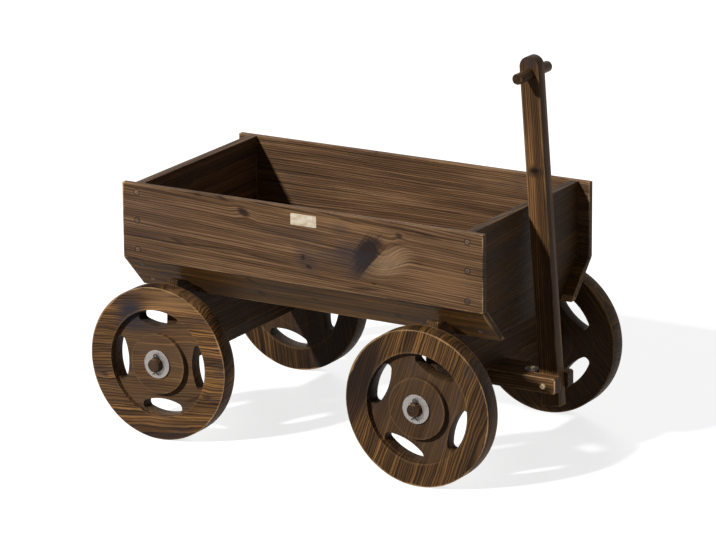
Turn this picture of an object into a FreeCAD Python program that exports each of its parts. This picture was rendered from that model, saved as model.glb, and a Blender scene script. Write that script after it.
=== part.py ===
import FreeCAD, Part

import math
import os

import Sketcher

# Flower cart stand: a planter box of fir boards carried on two wooden axles with four
# turned wheels, and a short tongue at the front that holds an upright pull handle.
#
# Frame of the part: +X runs forward (handle end), +Y to the left, +Z up.  The origin is on
# the ground, under the middle of the whole cart.  All sizes are millimetres.

ORIGIN = FreeCAD.Vector(0, 0, 0)
X_WAY = FreeCAD.Vector(1, 0, 0)
Y_WAY = FreeCAD.Vector(0, 1, 0)
Z_WAY = FreeCAD.Vector(0, 0, 1)
NO_TURN = FreeCAD.Rotation()
HALF_TURN = FreeCAD.Rotation(Z_WAY, 180)

os.makedirs("parts", exist_ok=True)
doc = FreeCAD.newDocument("flower_cart_stand")

# ---------------------------------------------------------------- driving dimensions

DIMENSIONS = {
    # planter box, measured from its own middle
    "box_middle": -5.0,
    "box_length": 755.0,
    "box_half_width": 208.5,
    "box_top": 466.0,
    "knee_height": 322.5,
    "box_bottom": 255.2,
    "bottom_half_width": 143.7,
    "board_thick": 12.0,
    "end_board_thick": 18.0,
    "end_board_inset": 22.5,
    "floor_gap": 5.0,
    "floor_middle_width": 84.0,
    # axles and the bolsters between them and the box
    "front_axle_ahead": 266.0,
    "wheelbase": 546.0,
    "axle_height": 145.0,
    "axle_dowel": 25.0,
    "axle_half_length": 274.0,
    "axle_square_deep": 40.0,
    "axle_square_tall": 25.4,
    "bolster_thick": 38.0,
    "bolster_half_length": 220.0,
    "axle_shoulder": 224.0,
    "bolster_end_slope": 24.0,
    "bolster_end_rise": 30.0,
    # wheels
    "wheel_radius": 145.0,
    "wheel_inner_face": 224.5,
    "wheel_bore": 25.8,
    "web_thick": 25.0,
    "rim_rise": 10.0,
    "rim_inner_radius": 102.0,
    "hub_radius": 57.0,
    "slot_outer_radius": 100.0,
    "slot_inner_radius": 69.0,
    "slot_half_chord": 54.0,
    "slot_half_length": 42.0,
    "slot_count": 4,
    # axle fittings
    "axle_washer_bore": 27.0,
    "axle_washer_diameter": 54.0,
    "axle_washer_thick": 2.5,
    "washer_play": 0.5,
    "split_pin_wire": 4.0,
    "split_pin_reach": 16.5,
    # tongue
    "tongue_half_width": 36.0,
    "arm_thick": 21.5,
    "arm_front": 425.0,
    "arm_top": 161.2,
    "arm_tall": 29.2,
    "arm_bevel": 3.0,
    "block_front": 373.5,
    "strap_thick": 3.0,
    "strap_half_width": 12.0,
    "strap_front": 371.0,
    "strap_overlap": 34.0,
    # handle
    "pivot_ahead": 400.0,
    "pivot_height": 145.0,
    "handle_lean": 4.25,
    "handle_wide": 38.0,
    "handle_thick": 24.0,
    "handle_below": 45.0,
    "handle_above": 600.0,
    "handle_bore": 8.6,
    "grip_along": 568.5,
    "grip_diameter": 20.0,
    "grip_half_length": 57.5,
    # bolts
    "bolt_shank": 8.0,
    "bolt_head": 12.0,
    "bolt_head_rise": 4.0,
    "spacer_diameter": 22.0,
    "spacer_gap": 0.3,
    "nut_size": 13.0,
    "nut_tall": 6.5,
    "penny_diameter": 26.0,
    "penny_thick": 2.0,
    "block_bolt_ahead": 358.5,
    "bolt_past_nut": 2.5,
}

sheet = doc.addObject("Spreadsheet::Sheet", "Sizes")
for row, (alias, number) in enumerate(DIMENSIONS.items(), start=1):
    sheet.set(f"A{row}", alias)
    sheet.set(f"B{row}", str(number))
    sheet.setAlias(f"B{row}", alias)
doc.recompute()


class Size:
    """A number together with the sheet expression that gives it."""

    def __init__(self, text, value):
        self.text = text
        self.value = value

    def __add__(self, other):
        other = size(other)
        return Size(f"({self.text} + {other.text})", self.value + other.value)

    def __sub__(self, other):
        other = size(other)
        return Size(f"({self.text} - {other.text})", self.value - other.value)

    def __mul__(self, other):
        other = size(other)
        return Size(f"({self.text} * {other.text})", self.value * other.value)

    def __truediv__(self, other):
        other = size(other)
        return Size(f"({self.text} / {other.text})", self.value / other.value)

    def __neg__(self):
        return Size(f"(0 - {self.text})", -self.value)

    def root(self):
        return Size(f"sqrt({self.text})", math.sqrt(self.value))


def size(thing):
    """A Size from a plain number, or the Size itself."""
    return thing if isinstance(thing, Size) else Size(repr(float(thing)), float(thing))


def dim(alias):
    """The driving dimension with this alias."""
    return Size(f"Sizes.{alias}", float(sheet.get(alias)))


# ---------------------------------------------------------------- sketches and features


def new_body(label):
    """An empty body; its label is also its name in the document."""
    return doc.addObject("PartDesign::Body", label)


def sketch_on(body, plane_role, lift=0):
    """A sketch on one of the body's own origin planes, lifted along the plane's normal."""
    sketch = body.newObject("Sketcher::SketchObject", body.Name + "_sketch")
    plane = next(item for item in body.Origin.OriginFeatures if item.Role == plane_role)
    sketch.AttachmentSupport = (plane, "")
    sketch.MapMode = "FlatFace"
    sketch.setExpression(".AttachmentOffset.Base.z", size(lift).text)
    return sketch


def bind(sketch, number, amount):
    """Bind a sketch's numbered constraint to the sheet."""
    sketch.setExpression(f"Constraints[{number}]", size(amount).text)


def pin_point(sketch, piece, end, across, up):
    """Hold one end of a piece of the outline at (across, up) from the sketch's origin."""
    for kind, amount in (("DistanceX", size(across)), ("DistanceY", size(up))):
        number = sketch.addConstraint(Sketcher.Constraint(kind, -1, 1, piece, end, amount.value))
        bind(sketch, number, amount)


def draw_outline(sketch, corners):
    """A closed outline of straight edges through the corners, each an (across, up) pair."""
    first = sketch.GeometryCount
    points = [FreeCAD.Vector(size(across).value, size(up).value, 0) for across, up in corners]
    for start, finish in zip(points, points[1:] + points[:1]):
        sketch.addGeometry(Part.LineSegment(start, finish))
    for piece in range(len(points)):
        following = (piece + 1) % len(points)
        sketch.addConstraint(Sketcher.Constraint(
            "Coincident", first + piece, 2, first + following, 1))
    for piece, (across, up) in enumerate(corners):
        pin_point(sketch, first + piece, 1, across, up)


def draw_circle(sketch, radius, across=0, up=0):
    """A circle of a radius from the sheet about a point from the sheet."""
    middle = FreeCAD.Vector(size(across).value, size(up).value, 0)
    piece = sketch.addGeometry(Part.Circle(middle, Z_WAY, size(radius).value))
    number = sketch.addConstraint(Sketcher.Constraint("Radius", piece, size(radius).value))
    bind(sketch, number, radius)
    pin_point(sketch, piece, 3, across, up)


def pad(body, sketch, length, backwards=False):
    """Raise a sketch by a length along its normal, or against it."""
    feature = body.newObject("PartDesign::Pad", body.Name + "_pad")
    feature.Profile = sketch
    feature.Reversed = backwards
    feature.setExpression("Length", size(length).text)
    doc.recompute()
    return feature


def pocket(body, sketch, depth, backwards=False):
    """Cut a sketch into the body, and make sure that it took something away."""
    before = body.Shape.Volume
    feature = body.newObject("PartDesign::Pocket", body.Name + "_pocket")
    feature.Profile = sketch
    feature.Reversed = backwards
    feature.setExpression("Length", size(depth).text)
    doc.recompute()
    if not body.Shape.Volume < before - 1:
        raise RuntimeError(f"{body.Name}: the pocket cuts nothing")
    return feature


def revolve(body, sketch, axis_role):
    """Turn a sketched half outline a full turn about one of the body's origin axes."""
    feature = body.newObject("PartDesign::Revolution", body.Name + "_turned")
    feature.Profile = sketch
    axis = next(item for item in body.Origin.OriginFeatures if item.Role == axis_role)
    feature.ReferenceAxis = (axis, [""])
    feature.Angle = 360
    doc.recompute()
    return feature


def put(thing, across=0, along=0, up=0, turn=NO_TURN):
    """Place a sub-part: across is X, along is Y and up is Z."""
    thing.Placement = FreeCAD.Placement(ORIGIN, turn)
    for axis, amount in (("x", across), ("y", along), ("z", up)):
        thing.setExpression(f".Placement.Base.{axis}", size(amount).text)
    return thing


def group_of(label, places):
    """One sub-part of several separate solids: a row is a model and where it goes."""
    links = []
    for number, (model, across, along, up, turn) in enumerate(places, start=1):
        link = doc.addObject("App::Link", f"{label}_{number}")
        link.LinkedObject = model
        links.append(put(link, across, along, up, turn))
    group = doc.addObject("Part::Compound", label)
    group.Links = links
    doc.recompute()
    return group


def bored(label, blank, passing):
    """A sub-part made by boring a blank for the piece that passes through it."""
    result = doc.addObject("Part::Cut", label)
    result.Base = blank
    result.Tool = passing
    doc.recompute()
    if not result.Shape.Volume < blank.Shape.Volume - 1:
        raise RuntimeError(f"{label}: boring it takes nothing away")
    return result


# ---------------------------------------------------------------- sizes worked out once

box_half = dim("box_length") / 2
end_outer = box_half - dim("end_board_inset")
end_inner = end_outer - dim("end_board_thick")
box_inner_half = dim("box_half_width") - dim("board_thick")

slope_across = dim("box_half_width") - dim("bottom_half_width")
slope_down = dim("knee_height") - dim("box_bottom")
slope_long = (slope_across * slope_across + slope_down * slope_down).root()
slope_turn = math.degrees(math.atan2(-slope_down.value, -slope_across.value))
# A slanted board is board_thick square to its face, and this wide where it is cut level.
level_cut = dim("board_thick") * slope_long / slope_down
# Its level edges run this far down the slope on their way to the inner face.
edge_shift = dim("board_thick") * slope_across / slope_down
knee_inner_half = dim("box_half_width") - level_cut
bottom_inner_half = dim("bottom_half_width") - level_cut
floor_top = dim("box_bottom") + dim("board_thick")
floor_spread = dim("board_thick") * slope_across / slope_down

front_axle = dim("front_axle_ahead")
rear_axle = front_axle - dim("wheelbase")
axle_square_half = dim("axle_square_tall") / 2
axle_top = dim("axle_height") + axle_square_half
axle_front_face = front_axle + dim("axle_square_deep") / 2
arm_inner = dim("tongue_half_width") - dim("arm_thick")
arm_bottom = dim("arm_top") - dim("arm_tall")
strap_bottom = arm_bottom - dim("strap_thick")
wheel_thick = dim("web_thick") + dim("rim_rise")
wheel_outer_face = dim("wheel_inner_face") + wheel_thick

OUTWARD_LEFT = FreeCAD.Rotation(X_WAY, -90)
OUTWARD_RIGHT = FreeCAD.Rotation(X_WAY, 90)

# One row for each wheel: its name, its axle, its side of the cart and how far it has rolled.
WHEELS = [
    ("front_left", front_axle, 1, 46.0),
    ("front_right", front_axle, -1, -68.0),
    ("rear_left", rear_axle, 1, -9.5),
    ("rear_right", rear_axle, -1, -2.0),
]

parts = []


def keep(thing):
    """Add a finished sub-part to those that are written."""
    parts.append(thing)
    return thing


# ---------------------------------------------------------------- hardware models


def ring_model(label, outer_diameter, bore, thick):
    """A flat washer lying on the XY plane."""
    body = new_body(label)
    sketch = sketch_on(body, "XY_Plane")
    draw_circle(sketch, outer_diameter / 2)
    draw_circle(sketch, bore / 2)
    pad(body, sketch, thick)
    return body


def nut_model(label):
    """A hexagon nut lying on the XY plane."""
    body = new_body(label)
    sketch = sketch_on(body, "XY_Plane")
    corner = dim("nut_size") / size(3).root()
    flat = dim("nut_size") / 2
    draw_outline(sketch, [
        (corner, 0), (corner / 2, flat), (-corner / 2, flat),
        (-corner, 0), (-corner / 2, -flat), (corner / 2, -flat),
    ])
    draw_circle(sketch, dim("bolt_shank") / 2)
    pad(body, sketch, dim("nut_tall"))
    return body


def bolt_model(label, under_head):
    """A cheese-head bolt: the head's underside at the origin, shank towards -Z."""
    body = new_body(label)
    sketch = sketch_on(body, "XZ_Plane")
    shank = dim("bolt_shank") / 2
    head = dim("bolt_head") / 2
    rise = dim("bolt_head_rise")
    draw_outline(sketch, [
        (0, rise), (head, rise), (head, 0),
        (shank, 0), (shank, -under_head), (0, -under_head),
    ])
    revolve(body, sketch, "Z_Axis")
    return body


# ---------------------------------------------------------------- planter box


def lengthwise_board(label, corners, length, turn=NO_TURN, along=0, up=0):
    """A board along X, drawn by its cross-section, middle to middle with the box."""
    body = new_body(label)
    sketch = sketch_on(body, "YZ_Plane", -length / 2)
    draw_outline(sketch, corners)
    pad(body, sketch, length)
    return keep(put(body, dim("box_middle"), along, up, turn))


def end_board(label, corners, turn):
    """One board of an end wall, drawn by its outline seen from the front."""
    body = new_body(label)
    sketch = sketch_on(body, "YZ_Plane", end_inner)
    draw_outline(sketch, corners)
    pad(body, sketch, dim("end_board_thick"))
    return keep(put(body, dim("box_middle"), turn=turn))


SIDE_SECTION = [
    (box_inner_half, dim("knee_height")),
    (dim("box_half_width"), dim("knee_height")),
    (dim("box_half_width"), dim("box_top")),
    (box_inner_half, dim("box_top")),
]
# The slanted section lies in its own frame: down the slope, and square out of its face.
SLANTED_SECTION = [
    (0, 0),
    (slope_long, 0),
    (slope_long + edge_shift, -dim("board_thick")),
    (edge_shift, -dim("board_thick")),
]
UPPER_END = [
    (-box_inner_half, dim("knee_height")),
    (box_inner_half, dim("knee_height")),
    (box_inner_half, dim("box_top")),
    (-box_inner_half, dim("box_top")),
]
LOWER_END = [
    (-bottom_inner_half, dim("box_bottom")),
    (bottom_inner_half, dim("box_bottom")),
    (knee_inner_half, dim("knee_height")),
    (-knee_inner_half, dim("knee_height")),
]

for where, side, turn in (("left", 1, NO_TURN), ("right", -1, HALF_TURN)):
    lengthwise_board(f"side_board_{where}", SIDE_SECTION, dim("box_length"), turn)
    lengthwise_board(f"slanted_board_{where}", SLANTED_SECTION, dim("box_length"),
                     turn.multiply(FreeCAD.Rotation(X_WAY, slope_turn)),
                     dim("box_half_width") * side, dim("knee_height"))
for where, turn in (("front", NO_TURN), ("rear", HALF_TURN)):
    end_board(f"end_board_{where}_upper", UPPER_END, turn)
    end_board(f"end_board_{where}_lower", LOWER_END, turn)

# Three floor boards with drain gaps between them; the outer two fit the slanted boards.
floor_middle_half = dim("floor_middle_width") / 2
floor_outer_start = floor_middle_half + dim("floor_gap")
lengthwise_board("floor_board_middle", [
    (-floor_middle_half, dim("box_bottom")),
    (floor_middle_half, dim("box_bottom")),
    (floor_middle_half, floor_top),
    (-floor_middle_half, floor_top),
], end_inner * 2)
for where, side in (("left", 1), ("right", -1)):
    lengthwise_board(f"floor_board_{where}", [
        (floor_outer_start * side, dim("box_bottom")),
        (bottom_inner_half * side, dim("box_bottom")),
        ((bottom_inner_half + floor_spread) * side, floor_top),
        (floor_outer_start * side, floor_top),
    ], end_inner * 2)

# ---------------------------------------------------------------- axles and bolsters


def split_pin_model(label):
    """A split pin hung by its eye: its leg drops through the dowel and forks below."""
    body = new_body(label)
    wire = dim("split_pin_wire")
    reach = dim("split_pin_reach")
    sketch = sketch_on(body, "XZ_Plane", -wire / 2)
    draw_outline(sketch, [
        (-wire / 2, reach - wire), (-wire / 2, -reach),
        (-wire * 2, -(reach + wire)), (-wire, -(reach + wire * 2)), (0, -(reach + wire)),
        (wire, -(reach + wire * 2)), (wire * 2, -(reach + wire)), (wire / 2, -reach),
        (wire / 2, reach - wire), (wire * 1.25, reach + wire / 4),
        (wire / 2, reach + wire * 1.5), (-wire / 2, reach + wire * 1.5),
        (-wire * 1.25, reach + wire / 4),
    ])
    draw_outline(sketch, [
        (-wire / 2, reach + wire / 4), (-wire / 4, reach - wire / 4),
        (wire / 4, reach - wire / 4), (wire / 2, reach + wire / 4),
        (wire / 4, reach + wire * 0.75), (-wire / 4, reach + wire * 0.75),
    ])
    pad(body, sketch, wire)
    return body


washer_start = wheel_outer_face + dim("washer_play")
pin_along = washer_start + dim("axle_washer_thick") + dim("split_pin_wire")
split_pin = split_pin_model("split_pin")
split_pins = keep(group_of("split_pins", [
    (split_pin, ahead, pin_along * side, dim("axle_height"), NO_TURN)
    for name, ahead, side, rolled in WHEELS
]))


def axle(label, ahead):
    """A squared beam under the bolster, turned down to a round dowel at both ends."""
    blank = new_body(label + "_blank")
    square = sketch_on(blank, "XZ_Plane", -dim("axle_shoulder"))
    half = dim("axle_square_deep") / 2
    draw_outline(square, [
        (-half, -axle_square_half), (half, -axle_square_half),
        (half, axle_square_half), (-half, axle_square_half),
    ])
    pad(blank, square, dim("axle_shoulder") * 2)
    dowel = sketch_on(blank, "YZ_Plane")
    radius = dim("axle_dowel") / 2
    reach = dim("axle_half_length")
    draw_outline(dowel, [(-reach, 0), (-reach, radius), (reach, radius), (reach, 0)])
    revolve(blank, dowel, "Y_Axis")
    put(blank, ahead, 0, dim("axle_height"))
    return keep(bored(label, blank, split_pins))


def bolster(label, ahead):
    """The beam between axle and box, its ends sloped in towards the top."""
    body = new_body(label)
    sketch = sketch_on(body, "YZ_Plane", -dim("bolster_thick") / 2)
    foot = dim("bolster_half_length")
    head = foot - dim("bolster_end_slope")
    slope_start = axle_top + dim("bolster_end_rise")
    draw_outline(sketch, [
        (-foot, axle_top), (foot, axle_top), (foot, slope_start), (head, dim("box_bottom")),
        (-head, dim("box_bottom")), (-foot, slope_start),
    ])
    pad(body, sketch, dim("bolster_thick"))
    return keep(put(body, ahead))


for where, ahead in (("front", front_axle), ("rear", rear_axle)):
    axle(f"axle_{where}", ahead)
    bolster(f"bolster_{where}", ahead)

# ---------------------------------------------------------------- wheels


def draw_slot(sketch):
    """A lens with blunt ends: its outer arc follows the rim, its inner one bulges in.

    The two arcs would meet at slot_half_chord, and are cut short at slot_half_length.
    """
    outer = dim("slot_outer_radius")
    inner = dim("slot_inner_radius")
    chord = dim("slot_half_chord")
    end = dim("slot_half_length")
    tip = (outer * outer - chord * chord).root()
    middle = (outer * outer - inner * inner) / ((tip - inner) * 2)
    bulge = middle - inner
    outer_end = (outer * outer - end * end).root()
    inner_end = middle - (bulge * bulge - end * end).root()
    outer_turn = math.asin(end.value / outer.value)
    inner_turn = math.asin(end.value / bulge.value)
    sketch.addGeometry(Part.ArcOfCircle(
        Part.Circle(ORIGIN, Z_WAY, outer.value), -outer_turn, outer_turn))
    sketch.addGeometry(Part.ArcOfCircle(
        Part.Circle(FreeCAD.Vector(middle.value, 0, 0), Z_WAY, bulge.value),
        math.pi - inner_turn, math.pi + inner_turn))
    for start, finish, side in ((outer_end, inner_end, 1), (inner_end, outer_end, -1)):
        sketch.addGeometry(Part.LineSegment(
            FreeCAD.Vector(start.value, end.value * side, 0),
            FreeCAD.Vector(finish.value, end.value * side, 0)))
    for first, first_end, second, second_end in (
            (0, 2, 2, 1), (2, 2, 1, 1), (1, 2, 3, 1), (3, 2, 0, 1)):
        sketch.addConstraint(Sketcher.Constraint(
            "Coincident", first, first_end, second, second_end))
    sketch.addConstraint(Sketcher.Constraint("Coincident", 0, 3, -1, 1))
    pin_point(sketch, 1, 3, middle, 0)
    for piece, radius in ((0, outer), (1, bulge)):
        number = sketch.addConstraint(Sketcher.Constraint("Radius", piece, radius.value))
        bind(sketch, number, radius)
    for piece, side in ((2, 1), (3, -1)):
        number = sketch.addConstraint(Sketcher.Constraint(
            "DistanceY", -1, 1, piece, 1, end.value * side))
        bind(sketch, number, end * side)
        sketch.addConstraint(Sketcher.Constraint("Horizontal", piece))


def wheel(label):
    """A turned disc, axis along Y: a sunk web between a raised rim and a raised hub.

    The flat inner face is at Y = 0 and the outer face towards -Y.
    """
    body = new_body(label)
    profile = sketch_on(body, "XY_Plane")
    bore = dim("wheel_bore") / 2
    web = dim("web_thick")
    draw_outline(profile, [
        (bore, 0), (dim("wheel_radius"), 0),
        (dim("wheel_radius"), -wheel_thick), (dim("rim_inner_radius"), -wheel_thick),
        (dim("rim_inner_radius"), -web), (dim("hub_radius"), -web),
        (dim("hub_radius"), -wheel_thick), (bore, -wheel_thick),
    ])
    revolve(body, profile, "Y_Axis")
    slot_sketch = sketch_on(body, "XZ_Plane")
    draw_slot(slot_sketch)
    slot = pocket(body, slot_sketch, web, backwards=True)
    slots = body.newObject("PartDesign::PolarPattern", label + "_slots")
    slots.Originals = [slot]
    slots.Axis = (next(i for i in body.Origin.OriginFeatures if i.Role == "Y_Axis"), [""])
    slots.Angle = 360
    slots.setExpression("Occurrences", dim("slot_count").text)
    body.Tip = slots
    return body


for where, ahead, side, rolled in WHEELS:
    facing = HALF_TURN if side > 0 else NO_TURN
    keep(put(wheel(f"wheel_{where}"), ahead, dim("wheel_inner_face") * side, dim("axle_height"),
             facing.multiply(FreeCAD.Rotation(Y_WAY, rolled))))

# ---------------------------------------------------------------- tongue

spacer_thick = arm_inner - dim("handle_thick") / 2 - dim("spacer_gap")
pivot_grip = dim("tongue_half_width") * 2 + dim("nut_tall") + dim("bolt_past_nut")
block_grip = (
    dim("penny_thick") + dim("arm_tall") + dim("strap_thick") + dim("nut_tall")
    + dim("bolt_past_nut"))

tongue_bolts = keep(group_of("tongue_bolts", [
    (bolt_model("pivot_bolt", pivot_grip), dim("pivot_ahead"), -dim("tongue_half_width"),
     dim("pivot_height"), OUTWARD_RIGHT),
    (bolt_model("block_bolt", block_grip), dim("block_bolt_ahead"), 0,
     dim("arm_top") + dim("penny_thick"), NO_TURN),
]))
nut = nut_model("nut")
keep(group_of("bolt_nuts", [
    (nut, dim("pivot_ahead"), dim("tongue_half_width"), dim("pivot_height"), OUTWARD_LEFT),
    (nut, dim("block_bolt_ahead"), 0, strap_bottom - dim("nut_tall"), NO_TURN),
]))

axle_washer = ring_model(
    "axle_washer", dim("axle_washer_diameter"), dim("axle_washer_bore"), dim("axle_washer_thick"))
spacer = ring_model("spacer", dim("spacer_diameter"), dim("bolt_shank"), spacer_thick)
penny = ring_model("penny", dim("penny_diameter"), dim("bolt_shank"), dim("penny_thick"))
keep(group_of("flat_washers", [
    (axle_washer, ahead, washer_start * side, dim("axle_height"),
     OUTWARD_LEFT if side > 0 else OUTWARD_RIGHT)
    for name, ahead, side, rolled in WHEELS
] + [
    (spacer, dim("pivot_ahead"), arm_inner, dim("pivot_height"), OUTWARD_RIGHT),
    (spacer, dim("pivot_ahead"), -arm_inner, dim("pivot_height"), OUTWARD_LEFT),
    (penny, dim("block_bolt_ahead"), 0, dim("arm_top"), NO_TURN),
]))


def tongue_arm(label, side):
    """One cheek of the tongue, butted against the axle, with its front edges eased."""
    blank = new_body(label + "_blank")
    start = arm_inner if side > 0 else -dim("tongue_half_width")
    sketch = sketch_on(blank, "XZ_Plane", -start)
    front = dim("arm_front")
    bevel = dim("arm_bevel")
    draw_outline(sketch, [
        (axle_front_face, arm_bottom), (front - bevel, arm_bottom),
        (front, arm_bottom + bevel), (front, dim("arm_top") - bevel),
        (front - bevel, dim("arm_top")), (axle_front_face, dim("arm_top")),
    ])
    pad(blank, sketch, dim("arm_thick"), backwards=True)
    return keep(bored(label, blank, tongue_bolts))


def tongue_slab(label, rear, front, half_width, bottom, thick):
    """A flat piece between the arms or under them, bored for the upright bolt."""
    blank = new_body(label + "_blank")
    sketch = sketch_on(blank, "XY_Plane", bottom)
    draw_outline(sketch, [
        (rear, -half_width), (front, -half_width), (front, half_width), (rear, half_width),
    ])
    pad(blank, sketch, thick)
    return keep(bored(label, blank, tongue_bolts))


tongue_arm("tongue_arm_left", 1)
tongue_arm("tongue_arm_right", -1)
tongue_slab("tongue_block", axle_front_face, dim("block_front"), arm_inner,
            arm_bottom, dim("arm_tall"))
tongue_slab("tongue_strap", axle_front_face - dim("strap_overlap"), dim("strap_front"),
            dim("strap_half_width"), strap_bottom, dim("strap_thick"))

# ---------------------------------------------------------------- handle

lean = FreeCAD.Rotation(Y_WAY, -dim("handle_lean").value)
handle_half = dim("handle_wide") / 2
round_middle = dim("handle_above") - handle_half


def draw_handle(sketch):
    """The bar's side view about its pivot: square foot, half-round top."""
    corners = [
        FreeCAD.Vector(-handle_half.value, round_middle.value, 0),
        FreeCAD.Vector(-handle_half.value, -dim("handle_below").value, 0),
        FreeCAD.Vector(handle_half.value, -dim("handle_below").value, 0),
        FreeCAD.Vector(handle_half.value, round_middle.value, 0),
    ]
    for start, finish in zip(corners, corners[1:]):
        sketch.addGeometry(Part.LineSegment(start, finish))
    top = Part.Circle(FreeCAD.Vector(0, round_middle.value, 0), Z_WAY, handle_half.value)
    sketch.addGeometry(Part.ArcOfCircle(top, 0, math.pi))
    for first, second, second_end in ((0, 1, 1), (1, 2, 1), (2, 3, 1)):
        sketch.addConstraint(Sketcher.Constraint("Coincident", first, 2, second, second_end))
    sketch.addConstraint(Sketcher.Constraint("Coincident", 3, 2, 0, 1))
    pin_point(sketch, 0, 2, -handle_half, -dim("handle_below"))
    pin_point(sketch, 1, 2, handle_half, -dim("handle_below"))
    pin_point(sketch, 3, 3, 0, round_middle)
    sketch.addConstraint(Sketcher.Constraint("Vertical", 0))
    sketch.addConstraint(Sketcher.Constraint("Horizontal", 3, 1, 3, 3))
    sketch.addConstraint(Sketcher.Constraint("Horizontal", 3, 2, 3, 3))
    draw_circle(sketch, dim("handle_bore") / 2)


grip = new_body("handle_grip")
grip_sketch = sketch_on(grip, "XZ_Plane", -dim("grip_half_length"))
draw_circle(grip_sketch, dim("grip_diameter") / 2, 0, dim("grip_along"))
pad(grip, grip_sketch, dim("grip_half_length") * 2)
keep(put(grip, dim("pivot_ahead"), 0, dim("pivot_height"), lean))

bar = new_body("handle_bar_blank")
bar_sketch = sketch_on(bar, "XZ_Plane", -dim("handle_thick") / 2)
draw_handle(bar_sketch)
pad(bar, bar_sketch, dim("handle_thick"))
put(bar, dim("pivot_ahead"), 0, dim("pivot_height"), lean)
keep(bored("handle_bar", bar, grip))

# ---------------------------------------------------------------- check and write

doc.recompute()
for thing in doc.Objects:
    if {"Invalid", "Error"} & set(thing.State):
        raise RuntimeError(f"{thing.Name}: {thing.State}")
for thing in parts:
    if thing.Shape.isNull() or not thing.Shape.isValid() or not thing.Shape.Solids:
        raise RuntimeError(f"{thing.Label}: its shape isn't a valid solid")
    thing.Shape.exportStep(f"parts/{thing.Label}.step")
whole = Part.makeCompound([thing.Shape for thing in parts])
print(f"{len(parts)} sub-parts, box {whole.BoundBox}")
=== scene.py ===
import math

import bmesh
import bpy
from mathutils import Matrix, Vector


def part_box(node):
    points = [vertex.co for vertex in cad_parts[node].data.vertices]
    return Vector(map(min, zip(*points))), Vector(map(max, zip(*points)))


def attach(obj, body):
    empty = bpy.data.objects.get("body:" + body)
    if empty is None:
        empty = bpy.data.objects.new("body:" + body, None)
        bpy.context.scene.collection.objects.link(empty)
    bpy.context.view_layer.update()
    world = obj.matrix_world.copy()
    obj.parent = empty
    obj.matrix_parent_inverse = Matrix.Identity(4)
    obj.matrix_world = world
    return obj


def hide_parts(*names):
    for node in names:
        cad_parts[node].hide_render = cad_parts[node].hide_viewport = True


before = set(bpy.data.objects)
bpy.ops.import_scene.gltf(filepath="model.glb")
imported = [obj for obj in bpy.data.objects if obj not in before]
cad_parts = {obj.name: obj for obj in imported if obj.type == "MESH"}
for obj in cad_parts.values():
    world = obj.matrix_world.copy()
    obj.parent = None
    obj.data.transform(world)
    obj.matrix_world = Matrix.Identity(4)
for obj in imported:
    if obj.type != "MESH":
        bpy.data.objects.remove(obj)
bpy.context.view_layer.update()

X = Vector((1, 0, 0))
Y = Vector((0, 1, 0))
Z = Vector((0, 0, 1))
MM = 0.001

# Corners closer than this, in metres, are one; edges that turn further than this are sharp.
WELD = 1e-6
SHARP = math.radians(25)

# Sizes and places in mm: how far ahead and how high the axles are, the radius of a wheel's
# hub, the outer face and the foot of the upright side boards, how far a slanted board goes
# in and down from there, and the floor's top.
AXLES = (266, -280)
AXLE_UP = 145
HUB_RADIUS = 57
SIDE_FACE = 208.5
SIDE_FOOT = 322.5
SLANT_IN = 64.8
SLANT_DOWN = 67.3
FLOOR_TOP = 267.2


# ---------------------------------------------------------------- finishes


class Finish:
    """A material under construction: every node of it is added through node()."""

    def __init__(self, name):
        self.material = bpy.data.materials.new(name)
        self.material.use_nodes = True
        self.tree = self.material.node_tree
        self.tree.nodes.clear()

    def node(self, kind, settings, sockets):
        """Add a node; its settings come first, then the values or links of its sockets."""
        made = self.tree.nodes.new(kind)
        for key, setting in settings.items():
            if key == "stops":
                ramp = made.color_ramp.elements
                while len(ramp) < len(setting):
                    ramp.new(1.0)
                for stop, (place, colour) in zip(ramp, setting):
                    stop.position = place
                    stop.color = (*colour, 1)
            else:
                setattr(made, key, setting)
        for key, given in sockets.items():
            if isinstance(given, Field):
                self.tree.links.new(given.socket, made.inputs[key])
            else:
                made.inputs[key].default_value = given
        return made

    def field(self, kind, settings, sockets, output=0):
        """Add a node and give one of its outputs to count with."""
        return Field(self, self.node(kind, settings, sockets).outputs[output])

    def place(self):
        """The Object coordinates of the piece."""
        return self.field("ShaderNodeTexCoord", {}, {}, 3)

    def noise(self, at, stretch, shift, detail=2.0, rough=0.5):
        """Noise about 0.5, with its own frequency per metre along each direction."""
        spread = self.field("ShaderNodeMapping", {}, {
            "Vector": at, "Location": (shift, shift * 0.7, -shift), "Scale": stretch})
        return self.field("ShaderNodeTexNoise", {}, {
            "Vector": spread, "Scale": 1.0, "Detail": detail, "Roughness": rough})

    def fade(self, amount, start, finish):
        """1 where the amount is at or below start, easing to 0 at finish."""
        return self.field("ShaderNodeMapRange", {"interpolation_type": "SMOOTHSTEP"}, {
            "Value": amount, "From Min": start, "From Max": finish,
            "To Min": 1.0, "To Max": 0.0})

    def ramp(self, amount, stops):
        """A colour for each amount between 0 and 1."""
        return self.field("ShaderNodeValToRGB", {"stops": stops}, {"Fac": amount})

    def mix(self, share, first, second, blend="MIX"):
        """The second colour over the first by a share."""
        return self.field(
            "ShaderNodeMix", {"data_type": "RGBA", "blend_type": blend},
            {0: share, 6: first, 7: second}, 2)

    def shine(self, constants, varying, relief, reach):
        """End with the surface shader, its relief read in metres."""
        bump = self.field("ShaderNodeBump", {}, {
            "Strength": 1.0, "Distance": reach, "Height": relief})
        surface = self.field("ShaderNodeBsdfPrincipled", {}, {
            **constants, **varying, "Normal": bump})
        self.node("ShaderNodeOutputMaterial", {}, {"Surface": surface})
        return self.material


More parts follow.
